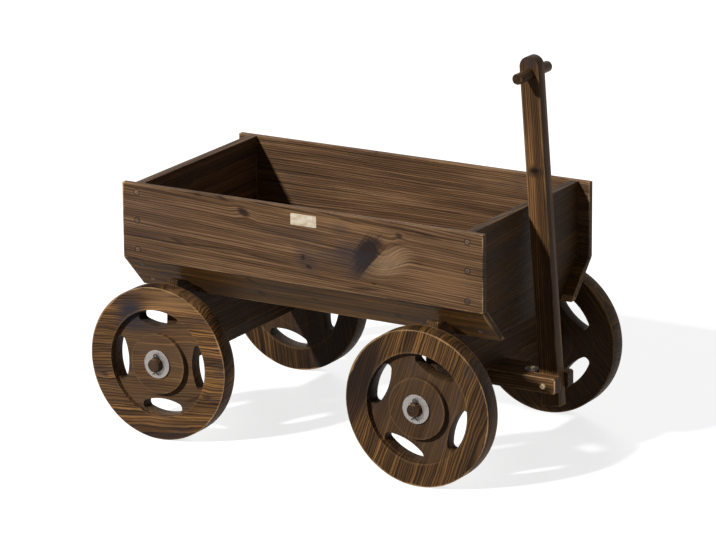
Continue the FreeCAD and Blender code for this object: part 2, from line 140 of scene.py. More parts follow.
class Field:
    """A value that changes over a surface; sums on it add Math nodes."""

    def __init__(self, finish, socket):
        self.finish = finish
        self.socket = socket

    def maths(self, operation, *sockets):
        """Add a Math node on this value."""
        return self.finish.field(
            "ShaderNodeMath", {"operation": operation}, dict(enumerate(sockets)))

    def __add__(self, other):
        return self.maths("ADD", self, other)

    def __sub__(self, other):
        return self.maths("SUBTRACT", self, other)

    def __rsub__(self, other):
        return self.maths("SUBTRACT", other, self)

    def __mul__(self, other):
        return self.maths("MULTIPLY", self, other)

    def __truediv__(self, other):
        return self.maths("DIVIDE", self, other)

    __radd__ = __add__
    __rmul__ = __mul__

    def __abs__(self):
        return self.maths("ABSOLUTE", self)

    def fraction(self):
        return self.maths("FRACT", self)

    def root(self):
        return self.maths("SQRT", self)

    def least(self, other):
        return self.maths("MINIMUM", self, other)

    def most(self, other):
        return self.maths("MAXIMUM", self, other)


def colour(red, green, blue):
    """A linear colour from the 0 to 255 numbers of a screen colour."""
    shares = [level / 255 for level in (red, green, blue)]
    return tuple(s / 12.92 if s < 0.04045 else ((s + 0.055) / 1.055) ** 2.4 for s in shares)


# From the palest early wood to the most burnt late wood.
BOARD_TONES = (colour(146, 112, 82), colour(104, 77, 53), colour(74, 53, 38), colour(38, 27, 22))
WHEEL_TONES = (colour(158, 114, 65), colour(95, 67, 41), colour(55, 39, 26), colour(26, 20, 15))
WARM_TONES = (colour(150, 108, 66), colour(98, 69, 43), colour(62, 44, 28), colour(30, 22, 15))
GOLDEN_TONES = (colour(148, 103, 52), colour(96, 66, 33), colour(61, 42, 21), colour(29, 20, 11))
BARE_WOOD = (*colour(202, 162, 116), 1)
CHAR = (*colour(27, 20, 19), 1)
# Dark char tinted blue: the bluish part is a painted sheen, like the one a gloss gives dark wood.
BLUISH_SHEEN_CHAR = (*colour(50, 45, 48), 1)
PALE_FIR = (*colour(148, 112, 76), 1)
PALE_SCAR = (*colour(162, 132, 100), 1)
DEEP_CHAR = (*colour(34, 27, 27), 1)
WEB_STAIN = (*colour(82, 62, 45), 1)


def burnt_fir(name, middle, grain, out, half, log, tones=BOARD_TONES, tone_and_shade=1.0, spacing=3.0,
              seed=0.0, waver=14, knots=(), marks=(), sheen_smudges=(), pales=(), screws=(),
              feather=None, wear=(0.15, 0.5), shadowed_joint=None, wheel=False, uneven=0.8,
              contrast=1.0):
    """Burnt fir cut from a log.

    Its own directions run along the grain, across it and out of the face that shows.
    log gives how far the pith lies across and below the middle, and its two slopes.
    A knot, a dark mark, a bluish smudge or a pale patch is (along, across, half length,
    half height, turn, strength); a bluish smudge is dark char with a painted bluish sheen.
    wear is for the long edges and for the ends, or a wheel's inner edges and its rim.
    joint is how far across the edge that meets another board is; a thin painted shadow
    line darkens the wood along that edge. tone scales the whole colour, and on pieces that
    sit in shade it is set low as painted shade.
    """
    finish = Finish(name)
    turn = Matrix((grain, out.cross(grain), out))
    at = finish.field("ShaderNodeMapping", {}, {
        "Vector": finish.place(), "Location": -(turn @ middle), "Rotation": turn.to_euler()})
    u, v, w = (Field(finish, part) for part in finish.node(
        "ShaderNodeSeparateXYZ", {}, {0: at}).outputs)
    knotted = [(ellipse(finish, at, *knot[:5]), knot[3], knot[5]) for knot in knots]

    # Growth rings about the pith, pushed aside by the knots and by a feather.
    reach = from_pith(finish, at, (u, v, w), log, seed, waver, feather, wheel)
    for apart, high, _ in knotted:
        reach = reach + finish.fade(apart, 0.5, 2.6) * (high * 0.45 * MM)
    flow = finish.field("ShaderNodeCombineXYZ", {}, {0: u, 1: reach, 2: w * 0.4})
    drift = finish.noise(flow, (1.1, 60, 1), seed + 5.2, 3.0, 0.6)
    year = (reach / (spacing * MM) + drift * 3.4).fraction()
    late = finish.fade(year, 0.92, 1.0) * (1 - finish.fade(year, 0.35, 0.92))
    zone = finish.noise(flow, (1.8, 75, 10), seed + 7.4, 3.0, 0.6) - 0.5

    # Fibres, scorching in soft patches, and smoky patches that also carry a painted bluish sheen.
    fibre = finish.noise(flow, (18, 900, 300), seed, 3.0, 0.7) - 0.5
    streak = finish.noise(flow, (3.8, 230, 60), seed + 1.7, 4.0, 0.68) - 0.5
    scorch = finish.noise(at, (4.5, 16, 16), seed + 2.3, 4.0, 0.6) - 0.5
    smoke_and_sheen = finish.noise(at, (6, 17, 17), seed + 6.9, 3.0, 0.55)

    depth = late * 0.44 + zone * 1.05 + streak * 1.15 + fibre * 0.5
    depth = depth * contrast + 0.31 + 0.06 * (1 - contrast)
    wood = finish.ramp(depth, [
        (0.0, tones[0]), (0.34, tones[1]), (0.68, tones[2]), (1.0, tones[3])])
    if feather:
        wood = feathered(finish, wood, at, u, v, feather, streak)
    half_u, half_v, half_w = (size * MM for size in half)
    if wheel:
        radius = (u * u + v * v).root()
        hollow = finish.fade(radius, half_v - 2 * MM, half_v + 2 * MM)
        wood = finish.mix(hollow * (0.6 + scorch * 1.2), wood, WEB_STAIN)
    # Random scorching and the piece's tone scale the colour; a low tone on a piece in shadow is
    # painted shade.
    shade = scorch * uneven + tone_and_shade
    level = finish.field("ShaderNodeCombineColor", {}, {0: shade, 1: shade, 2: shade})
    wood = finish.mix(1.0, wood, level, "MULTIPLY")
    # Smoky patches darken to char tinted with a painted bluish sheen.
    wood = finish.mix((1 - finish.fade(
        smoke_and_sheen, 0.61 - uneven * 0.06, 0.84 - uneven * 0.07)) * 0.55, wood, BLUISH_SHEEN_CHAR)
    # Pale patches, dark marks, and bluish smudges, which are dark char with a painted bluish
    # sheen.
    for spots, tint, ragged in (
            (pales, PALE_FIR, 2.6), (marks, CHAR, 1.3), (sheen_smudges, BLUISH_SHEEN_CHAR, 2.0)):
        for *place, strength in spots:
            apart = ellipse(finish, at, *place)
            wood = finish.mix(
                finish.fade(apart + streak * ragged, 0.2, 1.2) * strength, wood, tint)
    for apart, _, strength in knotted:
        heart = finish.fade(apart + streak * 0.9, 0.4, 1.25)
        wood = finish.mix(heart * strength, wood, CHAR)
    if screws:
        holes = [ellipse(finish, at, along, over, 1, 1, 0) for along, over in screws]
        nearest = holes[0]
        for hole in holes[1:]:
            nearest = nearest.least(hole)
        wood = finish.mix(finish.fade(nearest + streak * 5, 4.6, 8.0) * 0.7, wood, CHAR)

    # The distance to the nearest edge of the face that a point is on.
    if wheel:
        from_rim = abs(radius - half_u)
        near = from_rim.least(abs(radius - half_v).least(abs(radius - HUB_RADIUS * MM)))
        edge = near + abs(abs(w) - half_w)
        rough_end = finish.fade(from_rim, 0.004, 0.008)
    else:
        gap_u, gap_v, gap_w = half_u - abs(u), half_v - abs(v), half_w - abs(w)
        edge = gap_u + gap_v + gap_w - gap_u.most(gap_v.most(gap_w))
        wood = finish.mix(finish.fade(gap_u, 0.0004, 0.0009) * 0.5, wood, CHAR)
        rough_end = finish.fade(gap_u, 0.003, 0.008)
    patches = finish.noise(at, (26, 26, 26), seed + 4.4, 3.0, 0.65) - 0.5
    stretches = finish.noise(at, (9, 9, 9), seed + 9.3, 2.0) - 0.5
    worn = finish.fade(edge + patches * 0.007 + stretches * 0.008, 0.0003, 0.0028)
    worn = worn * (rough_end * (wear[1] - wear[0]) + wear[0])
    wood = finish.mix(worn, wood, BARE_WOOD)
    # A thin painted shadow line where the edge of the board above shades this one.
    if shadowed_joint:
        wood = finish.mix(finish.fade(abs(v - shadowed_joint * MM), 0.0016, 0.0045) * 0.85, wood, CHAR)

    dull = 0.56 + streak * 0.3 + worn * 0.15 - late * 0.06
    relief = late * 0.45 + fibre * 0.5 + streak * 0.8
    for apart, *_ in knotted:
        relief = relief - finish.fade(apart, 0.85, 1.1) * 0.5
    return finish.shine(
        {"Specular IOR Level": 0.07}, {"Base Color": wood, "Roughness": dull}, relief, 0.0005)


def from_pith(finish, at, point, log, seed, waver, feather, wheel):
    """How far a point is from the pith of its log, which wavers and parts for a feather."""
    u, v, w = point
    pith_across, pith_below, tilt, slope = log
    sway = finish.noise(at, (8, 15, 15) if wheel else (2.4, 9, 9), seed + 3.1, 3.0, 0.5) - 0.5
    roll = finish.noise(at, (1.3, 4, 4), seed + 8.6, 1.0) - 0.5
    aside = v - u * slope - pith_across * MM + sway * (waver * MM)
    below = w + pith_below * MM - u * tilt + roll * (waver * 2 * MM)
    if feather:
        along, over, _ = feather
        swirl = ellipse(finish, at, along + 12, over + 2, 70, 50, 20)
        aside = aside + finish.fade(swirl, 0.0, 1.0) * 0.026
    return (aside * aside + below * below).root()


def feathered(finish, wood, at, u, v, place, streak):
    """A feather of burnt wood that ends on a slanted line, with paler wood beyond it and a bluish
    haze of painted sheen.
    """
    along, over, angle = place
    lean = math.radians(angle)
    past = (u - along * MM) * math.cos(lean) + (v - over * MM) * math.sin(lean)
    rays = finish.field("ShaderNodeMapping", {}, {
        "Vector": at, "Rotation": (0, 0, -lean), "Scale": (1, 1, 1)})
    barbs = finish.noise(rays, (300, 18, 20), 4.0, 4.0, 0.65) - 0.5
    before = finish.fade(past + barbs * 0.014, -0.001, 0.003)
    deep = finish.fade(
        ellipse(finish, at, along - 14, over + 8, 52, 27, 60) + barbs * 1.1, 0.45, 1.15)
    sheen_haze = finish.fade(
        ellipse(finish, at, along - 42, over + 12, 40, 26, 8) + streak * 2.0, 0.2, 1.2)
    pale = finish.fade(
        ellipse(finish, at, along + 30, over, 62, 29, 24) + streak * 1.8, 0.15, 1.15)
    wood = finish.mix(sheen_haze * 0.5, wood, BLUISH_SHEEN_CHAR)
    wood = finish.mix(
        pale * (1 - before) * (0.5 + barbs * 0.9 + streak * 0.8), wood, PALE_SCAR)
    return finish.mix(deep * before * 0.94, wood, DEEP_CHAR)


def ellipse(finish, at, along, over, long, high, angle):
    """The distance from a spot on the face, 1 on the ellipse of that size."""
    return finish.field("ShaderNodeVectorMath", {"operation": "LENGTH"}, {
        0: finish.field("ShaderNodeMapping", {"vector_type": "TEXTURE"}, {
            "Vector": at, "Location": (along * MM, over * MM, 0),
            "Rotation": (0, 0, math.radians(angle)), "Scale": (long * MM, high * MM, 1)})}, 1)


def zinc(name, base, stain, seed, metal=0.85, batch=0.0):
    """Galvanised steel with a mottled bloom and fine spots; batch makes some darker."""
    finish = Finish(name)
    at = finish.place()
    bloom = finish.noise(at, (140, 140, 140), seed, 4.0, 0.6)
    spots = finish.noise(at, (380, 380, 380), seed + 2, 3.0, 0.6)
    grime = 1 - finish.fade(spots * 0.5 + bloom * 0.5, 0.52, 0.68)
    skin = finish.mix(grime * 0.8, (*base, 1), (*stain, 1))
    if batch:
        older = finish.noise(at, (23, 23, 23), seed + 5, 1.0)
        skin = finish.mix(finish.fade(older, 0.4, 0.6) * batch, skin, CHAR)
    return finish.shine(
        {"Metallic": metal}, {"Base Color": skin, "Roughness": 0.4 + bloom * 0.25},
        bloom + spots * 0.5, 0.0001)


# ---------------------------------------------------------------- pieces


def placed(name, data):
    """An object in the scene."""
    made = bpy.data.objects.new(name, data)
    bpy.context.scene.collection.objects.link(made)
    return made


def finished(name, form, body, finish, slot, *replaced):
    """A mesh that rides on a body and stands for the solids it replaces."""
    mesh = bpy.data.meshes.new(name)
    form.to_mesh(mesh)
    form.free()
    stored = mesh.attributes.get("custom_normal")
    if stored:
        mesh.attributes.remove(stored)
    mesh.materials.clear()
    mesh.materials.append(finish)
    piece = placed(name, mesh)
    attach(piece, body)
    if replaced:
        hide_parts(*replaced)


def ease(form, width):
    """Round off the sharp edges of a form; what was curved stays smooth."""
    for face in form.faces:
        face.smooth = any(0.003 < edge.calc_face_angle(0) < SHARP for edge in face.edges)
    sharp = [edge for edge in form.edges if edge.calc_face_angle(0) > SHARP]
    for face in bevelled(form, sharp, width, 2):
        face.smooth = True
    return form


def bevelled(form, edges, width, segments):
    """Round edges of a form; gives the faces that this makes."""
    return bmesh.ops.bevel(
        form, geom=edges, offset=width, offset_type="OFFSET", segments=segments, profile=0.5,
        affect="EDGES", material=-1, clamp_overlap=True)["faces"]


def block(middle, size):
    """A box of a size in mm about its middle."""
    form = bmesh.new()
    bmesh.ops.create_cube(form, size=1, matrix=Matrix.Translation(middle)
                          @ Matrix.Diagonal((*(side * MM for side in size), 1)))
    return form


def joined_up(form):
    """Weld what meets and turn every face outwards."""
    bmesh.ops.remove_doubles(form, verts=form.verts, dist=WELD)
    bmesh.ops.recalc_face_normals(form, faces=form.faces)
    return form


def pushed(form, faces, way):
    """Draw faces out by a vector, with walls behind them."""
    drawn = bmesh.ops.extrude_face_region(form, geom=faces)["geom"]
    bmesh.ops.translate(
        form, vec=way, verts=[part for part in drawn if isinstance(part, bmesh.types.BMVert)])


def turned(form, outline, at, axis, steps):
    """Spin an outline of (along the axis, radius) in mm about an axis."""
    across = Z if axis.z == 0 else X
    verts = [form.verts.new(at + axis * along * MM + across * radius * MM)
             for along, radius in outline]
    edges = [form.edges.new(pair) for pair in zip(verts, verts[1:])]
    bmesh.ops.spin(form, geom=verts + edges, cent=at, axis=axis, dvec=(0, 0, 0),
                   angle=math.tau, steps=steps, use_merge=True, use_duplicate=False)


def bare_copy(node):
    """A solid's mesh, joined up and with its flat faces whole."""
    form = bmesh.new()
    form.from_mesh(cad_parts[node].data)
    bmesh.ops.remove_doubles(form, verts=form.verts, dist=WELD)
    bmesh.ops.dissolve_limit(
        form, angle_limit=math.radians(0.6), verts=form.verts, edges=form.edges)
    return form


def eased_solid(node, width):
    """A copy of a solid's mesh with rounded edges."""
    return ease(bare_copy(node), width)


def middle_of(node):
    """The middle of a solid's box."""
    low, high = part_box(node)
    return (low + high) / 2


def half_of(node):
    """Half the size of a solid's box in mm."""
    low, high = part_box(node)
    return (high - low) / 2 / MM


def half_upright(node, grain):
    """Half the size of an upright board: along its grain, up and through."""
    size = half_of(node)
    return (size.x, size.z, size.y) if grain == X else (size.y, size.z, size.x)


# ---------------------------------------------------------------- planter box

BOARD_EASE = 1.1 * MM
SCREW_COLUMNS = (-351, 341)
SCREW_ROWS = [(x, z) for x in SCREW_COLUMNS for z in (450, 397, 341)]

# Each board: grain, the way its face looks, its tones, log, seed, tone and wear. The front
# end boards face away from the key light and get a low tone as painted shade.
BOARDS = {
    "side_board_left": (X, Y, BOARD_TONES, (88, 35, 0.03, 0.02), 2.0, 0.95, (0.2, 0.45)),
    "end_board_front_upper": (Y, X, GOLDEN_TONES, (-92, 40, 0.05, 0.03), 3.0, 0.4, (0.06, 0.2)),
    "end_board_front_lower": (Y, X, GOLDEN_TONES, (60, 30, -0.03, 0.02), 4.0, 0.4, (0.2, 0.3)),
    "end_board_rear_upper": (Y, -X, BOARD_TONES, (85, 50, 0.05, 0.02), 5.0, 0.9, (0.15, 0.3)),
    "end_board_rear_lower": (Y, -X, BOARD_TONES, (-55, 35, 0.03, 0.01), 6.0, 0.85, (0.15, 0.3)),
    "tongue_arm_left": (X, Y, WARM_TONES, (35, 20, 0.02, 0.0), 31.0, 0.85, (0.35, 0.7)),
    "tongue_arm_right": (X, -Y, WARM_TONES, (-32, 20, 0.02, 0.0), 32.0, 1.05, (0.5, 0.9)),
    "tongue_block": (X, -Y, WARM_TONES, (25, 20, 0.02, 0.0), 33.0, 0.8, (0.3, 0.4)),
}
for node, (grain, out, tones, log, seed, tone_and_shade, wear) in BOARDS.items():
    middle = middle_of(node)
    screws = [(x - middle.x / MM, middle.z / MM - z) for x, z in SCREW_ROWS]
    timber = burnt_fir(node + "_fir", middle, grain, out, half_upright(node, grain), log,
                       tones=tones, seed=seed, tone_and_shade=tone_and_shade, wear=wear, spacing=3.6,
                       screws=screws if node == "side_board_left" else ())
    finished(node + "_planed", eased_solid(node, BOARD_EASE), "cart", timber, "burnt_fir", node)

middle = middle_of("side_board_right")
near_timber = burnt_fir(
    "side_board_right_fir", middle, X, -Y, half_upright("side_board_right", X),
    (96, 22, 0.02, -0.03), seed=1.0, tone_and_shade=1.02, wear=(0.14, 0.95), spacing=4.2, waver=9,
    uneven=0.6,
    knots=[(-116, 48.6, 15, 8.0, -24, 0.85), (9, -19, 4.5, 6.0, 20, 0.7),
           (21, -35.5, 8, 4.0, -20, 0.8), (208, 48, 8, 5.5, -10, 0.75),
           (156, -48, 6, 2.5, -8, 0.6)],
    marks=[(-161, 69, 16, 3.5, -12, 0.75), (-214, 69, 14, 4, -8, 0.7), (105, 62, 32, 3.0, -6, 0.6),
           (132, -61, 38, 4.5, 5, 0.65), (262, 57, 32, 4.0, -10, 0.5),
           (-200, -27, 72, 2.2, 1.0, 0.75), (-70, -32, 72, 2.4, -4.5, 0.75),
           (-258, -25, 20, 4.0, -14, 0.6), (40, 30, 110, 2.0, -2, 0.45),
           (232, 28, 70, 1.8, -6, 0.45), (320, -48, 60, 1.8, -3, 0.4)],
    sheen_smudges=[(16, -26, 30, 20, -40, 0.55), (-330, 6, 120, 90, 0, 0.25),
             (87, 44, 22, 16, 0, 0.35), (-20, 20, 90, 16, 0, 0.3)],
    pales=[(60, 58, 130, 12, -2, 0.4), (300, -20, 70, 40, 0, 0.3)],
    screws=[(x - middle.x / MM, z - middle.z / MM) for x, z in SCREW_ROWS],
    feather=(156, -5, -40.9))
finished("side_board_right_planed", eased_solid("side_board_right", BOARD_EASE), "cart",
         near_timber, "burnt_fir", "side_board_right")


def slanted_out(side):
    """The way that the outer face of a slanted board looks."""
    return Vector((0, side * SLANT_DOWN, -SLANT_IN)).normalized()


# Each slanted board: side of the cart, seed, knots and dark marks.
SLANTED = {
    "slanted_board_left": (1, 8.0, (), ()),
    "slanted_board_right": (-1, 7.0, (
        (14, 0, 9, 4, -12, 0.7), (183, -10, 8, 6, 0, 0.8), (-103, -10, 7, 7, 40, 0.8)), (
        (-108, 34, 16, 5, -50, 0.75), (-90, 18, 10, 5, -40, 0.5))),
}
SLANTED_HALF = (377.5, 46.7, 6)
for node, (side, seed, knots, marks) in SLANTED.items():
    out = slanted_out(side)
    face = Vector((middle_of(node).x, side * (SIDE_FACE - SLANT_IN / 2) * MM,
                   (SIDE_FOOT - SLANT_DOWN / 2) * MM))
    long, wide, thick = SLANTED_HALF
    timber = burnt_fir(node + "_fir", face - out * thick * MM, X, out, SLANTED_HALF,
                       (88, 25, 0.01, -0.02), tones=GOLDEN_TONES, seed=seed, tone_and_shade=1.08,
                       wear=(0.6, 0.8), shadowed_joint=-wide * side, spacing=3.8, waver=9,
                       uneven=1.3, knots=knots, marks=marks)
    finished(node + "_planed", eased_solid(node, BOARD_EASE), "cart", timber, "burnt_fir", node)

for node, log, seed in (("floor_board_left", (60, 30, 0.04, 0.0), 9.0),
                        ("floor_board_middle", (-55, 45, 0.05, 0.0), 10.0),
                        ("floor_board_right", (50, 60, -0.04, 0.0), 11.0)):
    timber = burnt_fir(node + "_fir", middle_of(node), X, Z, half_of(node), log,
                       seed=seed, tone_and_shade=0.9, wear=(0.15, 0.3))
    finished(node + "_planed", eased_solid(node, 0.9 * MM), "cart", timber, "burnt_fir", node)

# ---------------------------------------------------------------- bolsters and axles

# Half of a bolster, as (across, up): its ends rise beside the slanted boards.
CRADLE = [(220, 157.7), (220, 196), (215, 296), (186, 290), (166, 277), (144.2, 255.2)]
CRADLE_MIDDLE = 226.85
CRADLE_THICK = 23
CRADLE_HALF = (220, 69.2, CRADLE_THICK / 2)


def cradle(middle):
    """A bolster whose raised ends hold the box between them."""
    form = bmesh.new()
    outline = CRADLE + [(-across, up) for across, up in reversed(CRADLE)]
    rear = middle.x - CRADLE_THICK * MM / 2
    board = form.faces.new([
        form.verts.new((rear, across * MM, up * MM)) for across, up in outline])
    pushed(form, [board], X * CRADLE_THICK * MM)
    bmesh.ops.recalc_face_normals(form, faces=form.faces)
    return form


# Each bolster: the way its face looks, log, seed and tone; the low tones paint the shade
# under the box.
for node, out, log, seed, tone_and_shade in (
        ("bolster_front", X, (60, 40, 0.03, 0.02), 12.0, 0.68),
        ("bolster_rear", -X, (-55, 35, 0.03, 0.0), 13.0, 0.58)):
    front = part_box(node)[1].x
    middle = Vector((front - CRADLE_THICK / 2 * MM, 0, CRADLE_MIDDLE * MM))
    timber = burnt_fir(node + "_fir", middle, Y, out, CRADLE_HALF, log, tones=WARM_TONES,
                       seed=seed, tone_and_shade=tone_and_shade, wear=(0.5, 0.3), spacing=3.6)
    finished(node + "_planed", ease(cradle(middle), BOARD_EASE), "cart", timber, "burnt_fir",
             node)

AXLE_BEAM = (40, 448, 25.4)
# A dowel at the end of an axle, as (out from the middle, radius).
AXLE_OUTLINE = [(220, 0), (220, 12.5), (272.2, 12.5), (273.4, 11.9), (274, 10.7), (274, 0)]
for where, seed in (("front", 14.0), ("rear", 15.0)):
    node = f"axle_{where}"
    middle = middle_of(node)
    beam = ease(block(middle, AXLE_BEAM), 1.0 * MM)
    for side in (1, -1):
        turned(beam, [(out * side, radius) for out, radius in AXLE_OUTLINE], middle, Y, 48)
    joined_up(beam)
    beam_end = (AXLE_BEAM[1] / 2 + 0.5) * MM
    for face in beam.faces:
        if abs(face.calc_center_median().y) > beam_end:
            face.smooth = abs(face.normal.y) < 0.95
    timber = burnt_fir(node + "_fir", middle, Y, X, (274, 12.7, 20), (4, 3, 0.0, 0.0),
                       spacing=2.4, seed=seed, tone_and_shade=0.8, waver=5, wear=(0.2, 0.15))
    finished(node + "_turned", beam, "cart", timber, "burnt_fir", node)

# ---------------------------------------------------------------- wheels


def round_slot_tips(form, reach):
    """Round the corners at the two blunt ends of each slot."""
    tips = [edge for edge in form.edges
            if edge.calc_face_angle(0) > math.radians(40)
            and abs((edge.verts[0].co - edge.verts[1].co).normalized().y) > 0.99]
    bevelled(form, tips, reach, 4)
    return form


# Each wheel: side of the cart, axle, angle of the grain in degrees, seed, log, tone, knots,
# dark marks, bluish smudges and pale patches. The far wheels get low tones as painted shade,
# and the bluish smudges are dark char with a painted sheen.
WHEELS = {
    "wheel_front_left": (
        1, "axle_front", 46.0, 20.0, (75, 30, 0.02, 0.03), 0.66, (), (), (), ()),
    "wheel_front_right": (
        -1, "axle_front", -68.0, 23.0, (-165, 25, 0.02, 0.04), 0.8, (),
        ((0, 124, 130, 50, 0, 0.85), (0, 10, 80, 60, 0, 0.25)),
        ((70, 40, 30, 18, 30, 0.4), (118, -66, 24, 16, 0, 0.45)), ()),
    "wheel_rear_left": (
        1, "axle_rear", 80.5, 26.0, (90, 35, 0.03, 0.02), 0.38, (), (), (), ()),
    "wheel_rear_right": (
        -1, "axle_rear", -2.0, 29.0, (-150, 30, 0.02, 0.04), 1.12,
        ((104, -52, 11, 6, 10, 0.55), (-118, -34, 9, 5, -20, 0.5)),
        ((70, -62, 26, 5, 24, 0.55), (112, 12, 26, 3, 12, 0.55), (-60, -88, 34, 4, 6, 0.5)),
        ((-54, 90, 40, 44, -30, 1.0), (-30, 66, 60, 14, 0, 0.5), (20, -78, 50, 12, 0, 0.4)),
        ((40, 122, 80, 20, 0, 0.6),)),
}
# A wheel's radius, the inner radius of its rim and half its thickness.
WHEEL_HALF = (145, 102, 17.5)
for node, (side, axle, angle, seed, log, tone_and_shade, knots, marks, sheen_smudges, pales) in WHEELS.items():
    angle = math.radians(angle)
    grain = Vector((math.cos(angle), 0, -math.sin(angle)))
    hub = Vector((middle_of(axle).x, middle_of(node).y, AXLE_UP * MM))
    timber = burnt_fir(
        node + "_fir", hub, grain, Y * side, WHEEL_HALF, log, tones=WHEEL_TONES, spacing=4.8,
        seed=seed, tone_and_shade=tone_and_shade, waver=20, wear=(0.08, 0.5), wheel=True, knots=knots, marks=marks,
        sheen_smudges=sheen_smudges, pales=pales, uneven=1.4, contrast=0.95)
    form = round_slot_tips(bare_copy(node), 5 * MM)
    finished(node + "_turned", ease(form, 2.0 * MM), node, timber, "burnt_fir", node)

# ---------------------------------------------------------------- handle

# How far up the handle the middles of its bar and its grip are from the pivot, in mm.
BAR_UP = 277.5
GRIP_UP = 568.5
lean = math.radians(4.25)
pivot = Vector((0.4, 0, AXLE_UP * MM))
upright = Vector((-math.sin(lean), 0, math.cos(lean)))
timber = burnt_fir("handle_bar_fir", pivot + upright * BAR_UP * MM, upright, -Y,
                   (322.5, 19, 12), (60, 25, 0.01, 0.0), tones=WARM_TONES, seed=41.0,
                   tone_and_shade=0.9, waver=6, wear=(0.22, 0.4), knots=[(115, 0.6, 5.0, 10, 0, 1.0)],
                   marks=[(113, 0, 13, 26, 0, 0.6)], sheen_smudges=[(318, 0, 30, 24, 0, 0.6)])
finished("handle_bar_planed", eased_solid("handle_bar", 1.3 * MM), "handle", timber,
         "burnt_fir", "handle_bar")
timber = burnt_fir("handle_grip_fir", pivot + upright * GRIP_UP * MM, Y, X, (57.5, 10, 10),
                   (2, 4, 0, 0), tones=WARM_TONES, spacing=2.4, seed=42.0, tone_and_shade=0.8, waver=5,
                   wear=(0.2, 0.2))
finished("handle_grip_turned", eased_solid("handle_grip", 1.2 * MM), "handle", timber,
         "burnt_fir", "handle_grip")

# ---------------------------------------------------------------- steel

washer_zinc = zinc("washer_zinc", colour(150, 144, 140), colour(84, 76, 70), 1.0)
bolt_zinc = zinc("bolt_zinc", colour(178, 160, 124), colour(96, 78, 52), 5.0)
dark_steel = zinc("dark_steel", colour(66, 58, 52), colour(30, 24, 22), 7.0)
stained_steel = zinc("stained_steel", colour(120, 95, 70), colour(62, 47, 35), 9.0, 0.3, 0.9)


def repeated(form, placements, joined=None):
    """The same small form at each placement, joined into one or onto another."""
    model = bpy.data.meshes.new("model")
    form.to_mesh(model)
    form.free()
    joined = joined or bmesh.new()
    for placement in placements:
        model.transform(placement)
        joined.from_mesh(model)
        model.transform(placement.inverted())
    bpy.data.meshes.remove(model)
    return joined


def facing(spot, out):
    """A placement that turns a form's own up to a direction at a spot in mm."""
    return Matrix.Translation(spot * MM) @ out.to_track_quat("Z", "Y").to_matrix().to_4x4()


# The cross recess of a screw: half its length, half its width and its depth.
CROSS = (2.3, 0.5, 0.7)


def screw_head():
    """A countersunk head with a cross recess, its top just proud of the wood."""
    head = bmesh.new()
    bmesh.ops.create_cone(head, cap_ends=True, segments=20, radius1=3.8 * MM,
                          radius2=4.2 * MM, depth=1.2 * MM,
                          matrix=Matrix.Translation(Z * -0.4 * MM))
    long, wide, deep = CROSS
    for way in (X, Y):
        for cut in (-long, -wide, wide, long):
            bmesh.ops.bisect_plane(head, geom=head.verts[:] + head.edges[:] + head.faces[:],
                                   dist=1e-7, plane_co=way * cut * MM, plane_no=way)
    cross = []
    for face in head.faces:
        spot = face.calc_center_median() / MM
        near, far = sorted((abs(spot.x), abs(spot.y)))
        if face.normal.z > 0.9 and near < wide and far < long:
            cross.append(face)
    pushed(head, cross, Z * -deep * MM)
    bmesh.ops.delete(head, geom=cross, context="FACES")
    bmesh.ops.recalc_face_normals(head, faces=head.faces)
    return head


slant_spots = []
for side in (1, -1):
    down = Vector((0, -SLANT_IN * side, -SLANT_DOWN)).normalized()
    slant_spots += [
        facing(Vector((x, SIDE_FACE * side, SIDE_FOOT)) + down * far, slanted_out(side))
        for x in SCREW_COLUMNS for far in (18, 70)]
axle_spots = [facing(Vector((x, y, 132.3)), -Z) for x in AXLES for y in (-110, 110)]
axle_spots += [facing(Vector((246, y, 146.6)), -X) for y in (-25, 25)]
for name, spots in (
        ("side_board_screws", [facing(Vector((x, SIDE_FACE * side, z)), Y * side)
                               for side in (1, -1) for x, z in SCREW_ROWS]),
        ("slanted_board_screws", slant_spots),
        ("floor_screws", [facing(Vector((x, y, FLOOR_TOP)), Z)
                          for x in AXLES for y in (-88, 0, 88)]),
        ("axle_screws", axle_spots)):
    finished(name, repeated(screw_head(), spots), "cart", stained_steel, "zinc_steel")


def bolt(length):
    """A domed bolt that hangs down from its head, with a turned-down tip."""
    form = bmesh.new()
    outline = [(4.0, 0), (3.8, 2.1), (3.1, 3.9), (1.9, 5.2), (0.8, 5.8), (0, 6.0), (0, 4),
               (0.8 - length, 4), (-length, 3.2), (-length, 0)]
    turned(form, outline, Vector(), Z, 40)
    joined_up(form)
    for face in form.faces:
        face.smooth = abs(face.normal.z) < 0.99
    return form


bolts = repeated(bolt(81), [facing(Vector((400, -36, AXLE_UP)), -Y)])
bolts = repeated(bolt(43.2), [facing(Vector((358.5, 0, 163.2)), Z)], bolts)
finished("tongue_bolts_domed", bolts, "cart", bolt_zinc, "zinc_steel", "tongue_bolts")
for node, width, steel in (("flat_washers", 0.35, washer_zinc), ("bolt_nuts", 0.6, bolt_zinc),
                           ("tongue_strap", 0.4, washer_zinc)):
    finished(node + "_plated", eased_solid(node, width * MM), "cart", steel, "zinc_steel", node)

